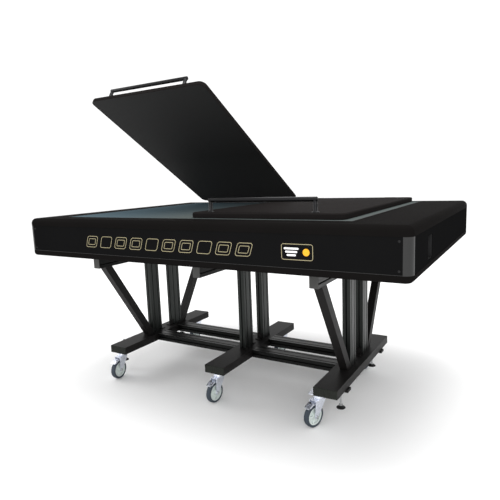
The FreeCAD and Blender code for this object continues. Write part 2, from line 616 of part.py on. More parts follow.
def caster_fork(name):
    """Two legs, crown, raceway, axle and pedal pin, drawn with the wheel trailing along +X."""
    outline = [("crown_back", "crown_bottom"), ("trail - leg_end", "wheel_radius"),
               ("trail + leg_end", "wheel_radius"), ("crown_front", "crown_bottom")]
    pieces = []
    for outer in ("leg_inside + leg_sheet", "-leg_inside"):
        leg, leg_pad = polygon_body("fork_leg", "XZ_Plane", outline, "leg_sheet")
        place(leg, ("0", outer, "0"))
        pieces.append(leg)
        pieces.append(cylinder("leg_tip", "leg_end", "leg_sheet",
                               ("trail", outer + " - leg_sheet", "wheel_radius"), "y"))
    outside = "leg_inside + leg_sheet"
    pieces.append(box("crown", ("crown_front - crown_back", "2*(%s)" % outside, "crown_sheet"),
                      ("crown_back", "-(%s)" % outside, "crown_bottom")))
    pieces.append(cylinder("raceway", "race_radius", "race_top - crown_bottom", ("0", "0", "crown_bottom")))
    pieces.append(cylinder("axle", "axle_radius", "2*axle_half", ("trail", "-axle_half", "wheel_radius"), "y"))
    for start in (outside, "-axle_half"):
        pieces.append(cylinder("axle_nut", "axle_head", "axle_half - leg_inside - leg_sheet",
                               ("trail", start, "wheel_radius"), "y"))
    pieces.append(cylinder("pedal_pin_rod", "pedal_pin", "2*(%s)" % outside,
                           ("pedal_pivot_x", "-(%s)" % outside, "pedal_pivot_z"), "y"))
    bore = cylinder("kingpin_bore", "kingpin + running_gap", "race_top", ("0", "0", "crown_bottom - crown_sheet"))
    return cut("caster_fork_" + name, fuse("fork_blank", pieces), [bore])


def brake_pedal(name):
    """A foot pedal over the tyre, with its brake shoe and a hub on the fork's pin."""
    outline = [("pedal_pivot_x", "pedal_pivot_z"), ("shoe_start", "pedal_knee_z - 2*pedal_sheet"),
               ("shoe_start", "shoe_bottom"), ("shoe_end", "shoe_bottom"),
               ("shoe_end", "pedal_knee_z - 2*pedal_sheet"), ("pedal_end", "pedal_end_z - pedal_sheet"),
               ("pedal_end", "pedal_end_z"), ("pedal_knee", "pedal_knee_z"),
               ("pedal_pivot_x", "pedal_pivot_z + pedal_sheet")]
    blade, blade_pad = polygon_body("pedal_blade", "XZ_Plane", outline, "2*pedal_half")
    place(blade, ("0", "pedal_half", "0"))
    hub = cylinder("pedal_hub_rod", "pedal_hub", "2*pedal_half",
                   ("pedal_pivot_x", "-pedal_half", "pedal_pivot_z"), "y")
    bore = cylinder("pedal_bore", "pedal_pin + running_gap", "4*pedal_half",
                    ("pedal_pivot_x", "-2*pedal_half", "pedal_pivot_z"), "y")
    return cut("brake_pedal_" + name, fuse("pedal_blank", [blade, hub]), [bore])


def caster_wheel(name):
    """Tread, rim, web and hub turned in one piece about the axle."""
    tyre = cylinder("tread", "wheel_radius", "tread_width", ("0", "-tread_width/2", "0"), "y")
    tools = []
    for side in ("-tread_width/2", "rim_width/2"):
        tools.append(cylinder("tread_step", "rim_radius", "(tread_width - rim_width)/2", ("0", side, "0"), "y"))
    for side in ("-rim_width/2", "web_width/2"):
        tools.append(cylinder("web_recess", "web_radius", "(rim_width - web_width)/2", ("0", side, "0"), "y"))
    hub = cylinder("hub", "hub_radius", "hub_width", ("0", "-hub_width/2", "0"), "y")
    bore = cylinder("wheel_bore", "axle_radius + running_gap", "2*hub_width", ("0", "-hub_width", "0"), "y")
    return cut("caster_wheel_" + name, fuse("wheel_blank", [cut("wheel_rim", tyre, tools), hub]), [bore])


def make_casters():
    """Six braked swivel casters, trailing towards the front at slightly different angles."""
    plates = []
    for name, at_x, at_y, turn in caster_places():
        turned = FreeCAD.Placement(VECTOR(), FreeCAD.Rotation(VECTOR(0, 0, 1), value(turn)))
        fork, pedal, wheel = caster_fork(name), brake_pedal(name), caster_wheel(name)
        for piece in (fork, pedal, wheel):
            piece.Placement = turned
            keep(piece)
        for piece in (fork, pedal):
            place(piece, (at_x, at_y, "0"))
        place(wheel, ("%s + trail*cos(%s)" % (at_x, turn), "%s + trail*sin(%s)" % (at_y, turn),
                      "wheel_radius"))
        plates.append(fuse("caster_plate_" + name, [
            box("plate", ("plate_width", "plate_length", "plate_sheet"),
                (at_x + " - plate_width/2", at_y + " - plate_length/2", "bar_bottom - plate_sheet")),
            cylinder("top_race", "top_race_radius", "bar_bottom - plate_sheet - race_top - race_gap",
                     (at_x, at_y, "race_top + race_gap")),
            cylinder("kingpin_rod", "kingpin", "bar_bottom - plate_sheet - kingpin_end",
                     (at_x, at_y, "kingpin_end"))]))
    keep(group("caster_plates", plates))


# ---------------------------------------------------------------- scanning carriage

def make_carriage():
    """A beam across the bed on four rail trucks, with cameras and lamps looking up."""
    floor = "body_bottom + sheet"
    rail_top = floor + " + rail_height"
    keep(group("guide_rails", [
        box("guide_rail", ("2*rail_end", "rail_width", "rail_height"),
            ("-rail_end", "%srail_offset - rail_width/2" % sign, floor)) for sign in ("-", "")]))
    trucks = []
    for sign_y in ("-", ""):
        for sign_x in ("-", "+"):
            trucks.append(box("rail_truck", ("truck_length", "truck_width", "truck_height"),
                              ("carriage_x %s truck_spacing - truck_length/2" % sign_x,
                               "%srail_offset - truck_width/2" % sign_y, rail_top + " + truck_gap")))
    keep(group("rail_trucks", trucks))
    beam_bottom = rail_top + " + truck_gap + truck_height"
    tube = box("beam_outside", ("beam_depth_x", "beam_length_y", "beam_height"),
               ("carriage_x - beam_depth_x/2", "-beam_length_y/2", beam_bottom))
    bore = box("beam_inside", ("beam_depth_x - 2*sheet", "beam_length_y + 2*sheet", "beam_height - 2*sheet"),
               ("carriage_x - beam_depth_x/2 + sheet", "-beam_length_y/2 - sheet", beam_bottom + " + sheet"))
    keep(cut("gantry_beam", tube, [bore]))
    deck = beam_bottom + " + beam_height"
    cameras = []
    for index in range(int(value("camera_count"))):
        camera_y = "(%d - (camera_count - 1)/2)*camera_pitch" % index
        case = box("camera_case", ("camera_size", "camera_size", "camera_height"),
                   ("carriage_x - camera_size/2", camera_y + " - camera_size/2", deck))
        lens = cylinder("lens_barrel", "lens_radius", "lens_height",
                        ("carriage_x", camera_y, deck + " + camera_height"))
        cameras.append(fuse("camera_module", [case, lens]))
    keep(group("camera_modules", cameras))
    lamps = []
    for sign in ("-", "+"):
        lamp_x = "carriage_x %s lamp_offset - lamp_width/2" % sign
        bar = box("lamp", ("lamp_width", "lamp_length", "lamp_height"),
                  (lamp_x, "-lamp_length/2", deck + " + lamp_bracket"))
        legs = [box("lamp_leg", ("lamp_width/4", "lamp_width", "lamp_bracket"),
                    (lamp_x + " + 3*lamp_width/8", "%slamp_length/2 %s lamp_width" % (near, far), deck))
                for near, far in (("-", "+"), ("", "-2*"))]
        lamps.append(fuse("light_bar", [bar] + legs))
    keep(group("light_bars", lamps))


def make_drive():
    """Two toothed belts driven by one cross shaft, with an idler shaft at the far end."""
    floor = "body_bottom + sheet"
    for label, at_x in (("drive_shaft", "shaft_x"), ("idler_shaft", "-shaft_x")):
        pieces = [cylinder("shaft_rod", "shaft_radius", "2*shaft_half", (at_x, "-shaft_half", "shaft_z"), "y")]
        for sign in ("-", ""):
            start = "%spulley_y - pulley_width/2" % sign
            pieces.append(cylinder("pulley", "pulley_radius", "pulley_width", (at_x, start, "shaft_z"), "y"))
            for edge in (start + " - flange_sheet", start + " + pulley_width"):
                pieces.append(cylinder("flange", "flange_radius", "flange_sheet", (at_x, edge, "shaft_z"), "y"))
        keep(fuse(label, pieces))
    belts = []
    for sign in ("-", ""):
        start = "%spulley_y - belt_width/2" % sign
        loops = []
        for name, radius, width, shift in (
                ("belt_outside", "pulley_radius + belt_gap + belt_sheet", "belt_width", ""),
                ("belt_inside", "pulley_radius + belt_gap", "3*belt_width", " - belt_width")):
            ends = [cylinder(name, radius, width, (at_x, start + shift, "shaft_z"), "y")
                    for at_x in ("-shaft_x", "shaft_x")]
            run = box(name + "_run", ("2*shaft_x", width, "2*(%s)" % radius),
                      ("-shaft_x", start + shift, "shaft_z - (%s)" % radius))
            loops.append(fuse(name + "_loop", ends + [run]))
        belts.append(cut("belt", loops[0], loops[1:]))
    keep(group("drive_belts", belts))
    blocks = []
    for at_x in ("shaft_x", "-shaft_x"):
        for sign in ("-", ""):
            start = "%sbearing_y - bearing_sheet/2" % sign
            block = box("bearing_blank", ("bearing_width", "bearing_sheet", "shaft_z - (%s) + bearing_width/2" % floor),
                        (at_x + " - bearing_width/2", start, floor))
            bore = cylinder("bearing_bore", "shaft_radius + running_gap", "3*bearing_sheet",
                            (at_x, start + " - bearing_sheet", "shaft_z"), "y")
            blocks.append(cut("bearing_block", block, [bore]))
    keep(group("bearing_blocks", blocks))
    keep(box("drive_motor", ("motor_size", "motor_length", "shaft_z - (%s) + motor_size/2" % floor),
             ("shaft_x - motor_size/2", "shaft_half + motor_gap", floor)))


def make_electronics():
    """Power supply and control board on the pan floor, under the carriage's path."""
    floor = "body_bottom + sheet"
    keep(box("power_supply", ("supply_length", "supply_width", "supply_height"),
             ("supply_x - supply_length/2", "supply_y - supply_width/2", floor)))
    pieces = [box("board", ("board_length", "board_width", "board_sheet"),
                  ("board_x - board_length/2", "board_y - board_width/2", floor + " + board_lift"))]
    for sign_x in ("-", "+"):
        for sign_y in ("-", "+"):
            pieces.append(cylinder("standoff", "standoff_radius", "board_lift",
                                   ("board_x %s (board_length/2 - standoff_inset)" % sign_x,
                                    "board_y %s (board_width/2 - standoff_inset)" % sign_y, floor)))
    for index in range(int(value("chip_count"))):
        pieces.append(box("chip", ("chip_size", "chip_size", "chip_height"),
                          ("board_x + (%d - (chip_count - 1)/2)*2*chip_size - chip_size/2" % index,
                           "board_y - chip_size/2", floor + " + board_lift + board_sheet")))
    keep(fuse("control_board", pieces))


make_housing()
make_glass()
make_lids()
make_connectors()
make_stand()
make_feet()
make_casters()
make_carriage()
make_drive()
make_electronics()
doc.recompute()

faults = []
for feature in doc.Objects:
    if "Invalid" in feature.State or "Error" in feature.State:
        faults.append("%s is %s" % (feature.Label, feature.State))
for node in sub_parts:
    if node.Shape.isNull() or not node.Shape.isValid():
        faults.append("%s has no valid shape" % node.Label)
if faults:
    raise RuntimeError("; ".join(faults))

os.makedirs("parts", exist_ok=True)
for node in sub_parts:
    node.Shape.exportStep("parts/%s.step" % node.Label)
print("%d sub-parts written" % len(sub_parts))
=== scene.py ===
"""Looks of a large-format flatbed scanner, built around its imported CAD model. Units are metres."""
import json
import math

import bmesh
import bpy
from mathutils import Matrix, Vector


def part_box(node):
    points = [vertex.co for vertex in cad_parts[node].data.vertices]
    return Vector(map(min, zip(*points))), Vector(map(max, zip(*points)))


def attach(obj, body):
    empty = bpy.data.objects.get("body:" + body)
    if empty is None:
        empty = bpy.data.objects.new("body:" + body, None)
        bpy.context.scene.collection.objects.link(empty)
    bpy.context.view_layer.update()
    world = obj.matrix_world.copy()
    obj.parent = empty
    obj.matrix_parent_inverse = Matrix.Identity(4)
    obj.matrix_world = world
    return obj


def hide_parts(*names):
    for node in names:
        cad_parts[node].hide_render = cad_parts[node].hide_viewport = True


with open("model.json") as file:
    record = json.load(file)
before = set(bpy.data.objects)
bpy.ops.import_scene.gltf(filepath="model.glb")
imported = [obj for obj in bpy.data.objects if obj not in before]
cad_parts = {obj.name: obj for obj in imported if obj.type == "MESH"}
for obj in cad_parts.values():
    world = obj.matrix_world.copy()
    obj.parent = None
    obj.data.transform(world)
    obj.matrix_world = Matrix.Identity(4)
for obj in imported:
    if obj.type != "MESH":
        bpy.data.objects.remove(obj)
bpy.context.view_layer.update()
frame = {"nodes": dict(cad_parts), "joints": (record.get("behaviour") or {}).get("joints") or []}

FIXED = "scanner"
ENDS = ("left_front", "left_rear", "middle_front", "middle_rear", "right_front", "right_rear")
FOOT_ENDS = ("left_front", "left_rear", "right_front", "right_rear")
JOINTS = {joint["name"]: joint for joint in frame["joints"]}


# ------------------------------------------------------------------ materials

class Nodes:
    """A node-based material: a Principled shader fed by small procedural patterns."""

    def __init__(self, name, color, roughness, metallic=0.0, coat=0.0, specular=0.5):
        self.material = bpy.data.materials.new(name)
        self.material.use_nodes = True
        self.tree = self.material.node_tree
        self.shader = self.tree.nodes["Principled BSDF"]
        self.shader.inputs["Base Color"].default_value = (*color, 1)
        self.shader.inputs["Roughness"].default_value = roughness
        self.shader.inputs["Metallic"].default_value = metallic
        self.shader.inputs["Coat Weight"].default_value = coat
        self.shader.inputs["Specular IOR Level"].default_value = specular
        self.place = self.tree.nodes.new("ShaderNodeTexCoord").outputs["Object"]

    def link(self, source, target):
        self.tree.links.new(source, target)

    def noise(self, scale, detail=4.0, stretch=(1, 1, 1)):
        """Noise in metres-based object space, stretched along an axis for brushed or drawn metal."""
        mapping = self.tree.nodes.new("ShaderNodeMapping")
        mapping.inputs["Scale"].default_value = stretch
        self.link(self.place, mapping.inputs["Vector"])
        noise = self.tree.nodes.new("ShaderNodeTexNoise")
        noise.inputs["Scale"].default_value = scale
        noise.inputs["Detail"].default_value = detail
        self.link(mapping.outputs["Vector"], noise.inputs["Vector"])
        return noise.outputs["Fac"]

    def ramp(self, factor, low, high, start=0.3, end=0.7):
        """Turns a factor into a colour or grey between two values."""
        ramp = self.tree.nodes.new("ShaderNodeValToRGB")
        ramp.color_ramp.elements[0].position = start
        ramp.color_ramp.elements[1].position = end
        ramp.color_ramp.elements[0].color = low
        ramp.color_ramp.elements[1].color = high
        self.link(factor, ramp.inputs["Fac"])
        return ramp.outputs["Color"]

    def tone(self, factor, color, spread):
        """Colour varies a little either side of its mean."""
        low = [max(0.0, part * (1 - spread)) for part in color]
        high = [min(1.0, part * (1 + spread)) for part in color]
        self.link(self.ramp(factor, (*low, 1), (*high, 1)), self.shader.inputs["Base Color"])

    def sheen(self, factor, low, high):
        """Roughness varies between two values."""
        self.link(self.ramp(factor, (low,) * 3 + (1,), (high,) * 3 + (1,)), self.shader.inputs["Roughness"])

    def relief(self, factor, strength, distance):
        """Surface relief from a height factor."""
        bump = self.tree.nodes.new("ShaderNodeBump")
        bump.inputs["Strength"].default_value = strength
        bump.inputs["Distance"].default_value = distance
        self.link(factor, bump.inputs["Height"])
        self.link(bump.outputs["Normal"], self.shader.inputs["Normal"])


def painted(name, color, roughness, specular=0.12, grain=900, spread=0.04, coat=0.0, relief=0.2):
    """Powder-coated or painted sheet: a fine orange peel with slow changes of tone and sheen."""
    made = Nodes(name, color, roughness, coat=coat, specular=specular)
    made.tone(made.noise(5), color, spread)
    made.sheen(made.noise(60, 6), roughness - 0.02, roughness + 0.03)
    made.relief(made.noise(grain, 2), relief, 0.0003)
    return made.material


def drawn_metal(name, color, roughness, stretch, metallic=0.9, spread=0.2):
    """Anodised, ground or brushed metal with fine lines along one axis."""
    made = Nodes(name, color, roughness, metallic=metallic)
    made.tone(made.noise(60, 5, stretch), color, spread)
    made.sheen(made.noise(240, 4, stretch), roughness - 0.07, roughness + 0.09)
    made.relief(made.noise(520, 3, stretch), 0.18, 0.0002)
    return made.material


def moulded(name, color, roughness, specular=0.2, grain=1400, relief=0.35):
    """Moulded plastic or rubber with a fine spark-eroded grain."""
    made = Nodes(name, color, roughness, specular=specular)
    made.tone(made.noise(18), color, 0.08)
    made.sheen(made.noise(90, 5), roughness - 0.04, roughness + 0.06)
    made.relief(made.noise(grain, 3), relief, 0.0003)
    return made.material


def along(made, axis, start, end, first, last):
    """Base colour that passes from one tone to another along an axis, between two positions."""
    split = made.tree.nodes.new("ShaderNodeSeparateXYZ")
    made.link(made.place, split.inputs["Vector"])
    share = made.tree.nodes.new("ShaderNodeMapRange")
    share.inputs["From Min"].default_value = start
    share.inputs["From Max"].default_value = end
    made.link(split.outputs[axis], share.inputs["Value"])
    tone = made.ramp(share.outputs["Result"], (*first, 1), (*last, 1), 0.0, 1.0)
    made.link(tone, made.shader.inputs["Base Color"])


def bed_glass_painted_reflection():
    """Plate glass over a dark bay with a painted reflection: teal at one end and greyer at the other, with
    no specular of its own.
    """
    made = Nodes("bed_glass_plate_painted_reflection", (0.07, 0.09, 0.1), 0.08, specular=0.0)
    # Painted reflection: the tone runs from teal to grey along X.
    along(made, "X", -0.70, -0.10, (0.078, 0.113, 0.132), (0.076, 0.088, 0.086))
    made.sheen(made.noise(9, 6), 0.06, 0.13)
    return made.material


def glow_strip():
    """Milky diffuser of a lamp that is off."""
    made = Nodes("lamp_diffuser", (0.82, 0.84, 0.82), 0.4)
    made.tone(made.noise(30), (0.82, 0.84, 0.82), 0.06)
    made.relief(made.noise(700), 0.2, 0.0002)
    return made.material


def lid_pad_painted_reflection():
    """Matt underside of a lid with a painted reflection: paler near its hinges, lower down."""
    made = Nodes("lid_pad_sheet_painted_reflection", (0.022, 0.022, 0.022), 0.6, specular=0.04)
    # Painted reflection: paler low on the open lid, darker from 1.5 m up.
    along(made, "Z", 1.20, 1.50, (0.042, 0.042, 0.042), (0.0205, 0.0205, 0.0205))
    made.sheen(made.noise(60, 6), 0.58, 0.63)
    made.relief(made.noise(1100, 2), 0.2, 0.0003)
    return made.material


M = {
    "panel": painted("panel_paint", (0.0066, 0.0066, 0.0068), 0.5, 0.0),
    "surround": painted("surround_paint", (0.0070, 0.0064, 0.0062), 0.55, 0.001),
    # Corner posts: a satin grey of their own, lightened further by a painted highlight along their rounded
    # corners.
    "post": painted("post_paint_with_painted_highlight", (0.028, 0.028, 0.028), 0.38, 0.2),
    "lid": painted("lid_paint", (0.0135, 0.0120, 0.0118), 0.55, 0.001),
    "pad": lid_pad_painted_reflection(),
    "glass": bed_glass_painted_reflection(),
    "handle": drawn_metal("handle_anodised", (0.020, 0.020, 0.021), 0.36, (0.05, 1, 1)),
    "profile_x": drawn_metal("profile_anodised_x", (0.0125, 0.013, 0.0125), 0.4, (0.04, 1, 1)),
    "profile_y": drawn_metal("profile_anodised_y", (0.0125, 0.013, 0.0125), 0.4, (1, 0.04, 1)),
    # Upright profiles: the same anodised black painted about twice as light, painted light for how the
    # columns catch the light.
    "profile_z_painted_light": drawn_metal("profile_anodised_z_painted_light", (0.025, 0.0275, 0.026), 0.38, (1, 1, 0.04)),
    "bar": painted("bar_paint", (0.0085, 0.0078, 0.0076), 0.48, 0.12),
    "cap": moulded("cap_plastic", (0.019, 0.021, 0.0182), 0.6, 0.12),
    "beam_cap": moulded("beam_cap_plastic", (0.062, 0.062, 0.06), 0.55, 0.2),
    "zinc": drawn_metal("caster_zinc_plate", (0.74, 0.77, 0.85), 0.24, (1, 1, 1), 1.0, 0.08),
    "rim": moulded("rim_nylon", (0.62, 0.68, 0.66), 0.34, 0.5),
    "tyre": moulded("tyre_rubber", (0.040, 0.052, 0.066), 0.62, 0.2),
    "rubber": moulded("black_rubber", (0.008, 0.008, 0.0085), 0.6, 0.25),
    "stem": drawn_metal("threaded_steel", (0.45, 0.46, 0.47), 0.3, (1, 1, 1)),
    "steel": drawn_metal("ground_steel", (0.42, 0.43, 0.44), 0.28, (0.05, 1, 1)),
    "dark_steel": drawn_metal("hinge_steel_black", (0.04, 0.04, 0.041), 0.4, (0.1, 1, 1)),
    "alloy": drawn_metal("beam_alloy", (0.5, 0.51, 0.52), 0.36, (1, 0.04, 1)),
    "socket": moulded("socket_plastic", (0.014, 0.014, 0.0145), 0.5, 0.3),
    "gold": painted("gold_print", (0.36, 0.315, 0.185), 0.42, 0.3),
    "amber": painted("amber_print", (0.9, 0.42, 0.01), 0.36, 0.4),
    "white": painted("white_print", (0.85, 0.85, 0.85), 0.38, 0.4),
    "board": moulded("board_mask", (0.012, 0.09, 0.035), 0.4, 0.5),
    "lamp": glow_strip(),
    "belt": moulded("belt_rubber", (0.018, 0.018, 0.018), 0.7),
}


# ------------------------------------------------------------------ mesh tools

def piece(name, mesh, look, body=FIXED, bevel=0.0, segments=3, smooth=40, at=None):
    """An object from a bmesh, shaded smooth by angle, that rides on a body."""
    data = bpy.data.meshes.new(name)
    bmesh.ops.recalc_face_normals(mesh, faces=mesh.faces)
    mesh.to_mesh(data)
    mesh.free()
    made = bpy.data.objects.new(name, data)
    bpy.context.scene.collection.objects.link(made)
    data.materials.append(M[look])
    if at is not None:
        data.transform(at)
    for face in data.polygons:
        face.use_smooth = True
    if bevel:
        rounding = made.modifiers.new("edges", "BEVEL")
        rounding.width = bevel
        rounding.segments = segments
        rounding.limit_method = "ANGLE"
        rounding.angle_limit = math.radians(smooth)
        rounding.harden_normals = True
    data.set_sharp_from_angle(angle=math.radians(smooth))
    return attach(made, body)


def add_block(mesh, low, high):
    """A box between two corners."""
    low, high = Vector(low), Vector(high)
    corners = [mesh.verts.new([(low, high)[bit][axis] for axis, bit in enumerate(bits)])
               for bits in ((0, 0, 0), (1, 0, 0), (1, 1, 0), (0, 1, 0),
                            (0, 0, 1), (1, 0, 1), (1, 1, 1), (0, 1, 1))]
    for face in ((0, 3, 2, 1), (4, 5, 6, 7), (0, 1, 5, 4), (1, 2, 6, 5), (2, 3, 7, 6), (3, 0, 4, 7)):
        mesh.faces.new([corners[index] for index in face])


def add_prism(mesh, outline, depth, place=Matrix.Identity(4)):
    """A closed outline in the local XY plane, run along local +Z."""
    lower = [mesh.verts.new(place @ Vector((x, y, 0))) for x, y in outline]
    upper = [mesh.verts.new(place @ Vector((x, y, depth))) for x, y in outline]
    mesh.faces.new(lower[::-1])
    mesh.faces.new(upper)
    for index in range(len(outline)):
        following = (index + 1) % len(outline)
        mesh.faces.new((lower[index], lower[following], upper[following], upper[index]))


def add_lathe(mesh, profile, steps, place=Matrix.Identity(4), closed=False):
    """A profile of (radius, height) points turned about local Z."""
    rings = []
    for radius, height in profile:
        if radius < 1e-7:
            rings.append([mesh.verts.new(place @ Vector((0, 0, height)))] * steps)
            continue
        rings.append([mesh.verts.new(place @ Vector((radius * math.cos(2 * math.pi * step / steps),
                                                     radius * math.sin(2 * math.pi * step / steps),
                                                     height))) for step in range(steps)])
    pairs = list(zip(rings, rings[1:])) + ([(rings[-1], rings[0])] if closed else [])
    for lower, upper in pairs:
        for step in range(steps):
            following = (step + 1) % steps
            corners = (lower[step], lower[following], upper[following], upper[step])
            face = list(dict.fromkeys(corners))
            if len(face) > 2:
                mesh.faces.new(face)


UPRIGHT = Matrix.Rotation(math.pi / 2, 4, "X")


def rounded_outline(width, depth, radius, steps=8):
    """A rectangle about the origin with round corners."""
    points = []
    for corner, (sign_x, sign_y) in enumerate(((1, 1), (-1, 1), (-1, -1), (1, -1))):
        for step in range(steps + 1):
            angle = math.pi / 2 * (corner + step / steps)
            points.append((sign_x * (width / 2 - radius) + radius * math.cos(angle),
                           sign_y * (depth / 2 - radius) + radius * math.sin(angle)))
    return points


def axis_place(at, along):
    """A placement whose local Z points along a direction."""
    turn = Vector(along).to_track_quat("Z", "Y").to_matrix().to_4x4()
    return Matrix.Translation(at) @ turn


# ------------------------------------------------------------------ CAD nodes that keep their shape

MERGE_DISTANCE, SHARP_ANGLE = 0.00001, 32


def dress(node, look):
    """Gives a CAD node its material, and smooth shading across its rounded edges by modifiers."""
    shown = frame["nodes"][node]
    for face in shown.data.polygons:
        face.use_smooth = True
    weld = shown.modifiers.new("weld", "WELD")
    weld.merge_threshold = MERGE_DISTANCE
    split = shown.modifiers.new("edges", "EDGE_SPLIT")
    split.split_angle = math.radians(SHARP_ANGLE)
    shown.data.materials.clear()
    shown.data.materials.append(M[look])


KEPT = {
    "base_pan": "surround", "top_surround": "surround", "front_panel": "panel", "rear_panel": "panel",
    "end_panels": "panel", "corner_posts": "post", "glass_plate": "glass",
    "left_lid": "lid", "right_lid": "lid", "left_lid_pad": "pad", "right_lid_pad": "pad",
    "left_hinge_straps": "dark_steel", "right_hinge_straps": "dark_steel", "hinge_blocks": "dark_steel",
    "connector_pocket": "socket", "power_switch": "socket", "foot_bars": "bar", "foot_blocks": "bar",
    "diagonal_braces": "bar", "guide_rails": "steel", "rail_trucks": "steel", "gantry_beam": "alloy",
    "camera_modules": "socket", "light_bars": "lamp", "drive_shaft": "steel", "idler_shaft": "steel",
    "drive_belts": "belt", "bearing_blocks": "alloy", "drive_motor": "socket", "power_supply": "alloy",
    "control_board": "board",
}
for node_name, node_look in KEPT.items():
    dress(node_name, node_look)


# ------------------------------------------------------------------ extruded stand profiles

SLOT_MOUTH, SLOT_ROOM, SLOT_FLOOR = 0.0082, 0.0165, 0.007
SLOT_LIP, SLOT_DEPTH = 0.0024, 0.0125
ARRIS = 0.0016


def slot_points(centre):
    """One T-slot as (distance along the face, depth below it), in walking order."""
    half_mouth, half_room, half_floor = SLOT_MOUTH / 2, SLOT_ROOM / 2, SLOT_FLOOR / 2
    return [(centre - half_mouth, 0), (centre - half_mouth, SLOT_LIP), (centre - half_room, SLOT_LIP),
            (centre - half_room, SLOT_DEPTH / 2), (centre - half_floor, SLOT_DEPTH),
            (centre + half_floor, SLOT_DEPTH), (centre + half_room, SLOT_DEPTH / 2),
            (centre + half_room, SLOT_LIP), (centre + half_mouth, SLOT_LIP), (centre + half_mouth, 0)]


def profile_outline(width, depth):
    """Section of an extrusion with a slot for every square module on each face."""
    module = min(width, depth)
    points = []
    for side in range(4):
        length, other = (width, depth) if side % 2 == 0 else (depth, width)
        turn = Matrix.Rotation(math.pi / 2 * side, 2)
        face = [(-length / 2 + ARRIS, 0)]
        for index in range(round(length / module)):
            face += slot_points(-length / 2 + module * (index + 0.5))
        face.append((length / 2 - ARRIS, 0))
        points += [tuple(turn @ Vector((along, -other / 2 + down))) for along, down in face]
    return points


def extrusion(name, section, start, end, look, across=(1, 0, 0)):
    """A slotted profile from start to end, with the section's first side along across."""
    start, end = Vector(start), Vector(end)
    along = (end - start).normalized()
    side = Vector(across)
    turn = Matrix((side, along.cross(side), along)).transposed().to_4x4()
    mesh = bmesh.new()
    add_prism(mesh, profile_outline(*section), (end - start).length, Matrix.Translation(start) @ turn)
    return piece(name, mesh, look, smooth=25)


FRAME_PLACES = (-0.803, -0.005, 0.702)
CAP_SHEET, BEAM_CAP_SHEET = 0.010, 0.004


def build_stand():
    """Columns, cross beams and stretchers as real slotted extrusions, and ribbed bar end caps."""
    column_low, column_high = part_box("columns")
    beam_low, beam_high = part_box("cross_beams")
    tie_low, tie_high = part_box("stretchers")
    bar_low, bar_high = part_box("foot_bars")
    places = FRAME_PLACES
    narrow = 2 * (places[0] - column_low.x)
    wide = 2 * narrow
    half_bar = places[0] - bar_low.x
    rows = (column_low.y + wide / 2, column_high.y - wide / 2)
    columns, ties, beams, caps = [], [], [], []
    for side, at_x in zip(("left", "middle", "right"), places):
        for end, at_y in zip(("front", "rear"), rows):
            # Columns use the lighter copy of the profile: painted light.
            columns.append(extrusion("column_%s_%s" % (side, end), (narrow, wide),
                                     (at_x, at_y, column_low.z), (at_x, at_y, column_high.z), "profile_z_painted_light"))
        middle_z = (beam_low.z + beam_high.z) / 2
        beams.append(extrusion("cross_beam_" + side, (narrow, wide),
                               (at_x, beam_low.y, middle_z), (at_x, beam_high.y, middle_z), "profile_y"))
        for end, inner, way in (("front", bar_low.y, -1), ("rear", bar_high.y, 1)):
            caps.append(end_cap("bar_cap_%s_%s" % (side, end), at_x, half_bar, inner,
                                inner + way * CAP_SHEET, bar_low.z, bar_high.z))
        for end, inner, way in (("front", beam_low.y, -1), ("rear", beam_high.y, 1)):
            mesh = bmesh.new()
            outer = inner + way * BEAM_CAP_SHEET
            add_block(mesh, (at_x - narrow / 2, min(inner, outer), beam_low.z),
                      (at_x + narrow / 2, max(inner, outer), beam_high.z))
            piece("beam_cap_%s_%s" % (side, end), mesh, "beam_cap", bevel=0.001)
    for bay, (first, second) in zip(("left", "right"), zip(places, places[1:])):
        for end, at_y in zip(("front", "rear"), rows):
            middle_z = (tie_low.z + tie_high.z) / 2
            ties.append(extrusion("stretcher_%s_%s" % (bay, end), (wide, tie_high.z - tie_low.z),
                                  (first + half_bar, at_y, middle_z), (second - half_bar, at_y, middle_z),
                                  "profile_x", across=(0, 1, 0)))
    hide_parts("columns")
    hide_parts("cross_beams")
    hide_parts("stretchers")
    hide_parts("bar_end_caps")
    corner_brackets(places, rows, narrow, wide, column_low.z, column_high.z)


CAP_RIBS, CAP_GROOVE = 10, 0.0022


def end_cap(name, at_x, half, inner, outer, low_z, high_z):
    """A plastic cap with upright ribs on its outer face."""
    mesh = bmesh.new()
    step = CAP_GROOVE if outer > inner else -CAP_GROOVE
    add_block(mesh, (at_x - half, min(inner, outer - step), low_z),
              (at_x + half, max(inner, outer - step), high_z))
    pitch = 2 * half / CAP_RIBS
    for index in range(CAP_RIBS):
        left = at_x - half + pitch * index
        add_block(mesh, (left + pitch * 0.14, min(outer - step, outer), low_z + 0.003),
                  (left + pitch * 0.86, max(outer - step, outer), high_z - 0.003))
    return piece(name, mesh, "cap", bevel=0.0007)


BRACKET, BRACKET_SHEET, BRACKET_HEAD = 0.038, 0.005, 0.0055


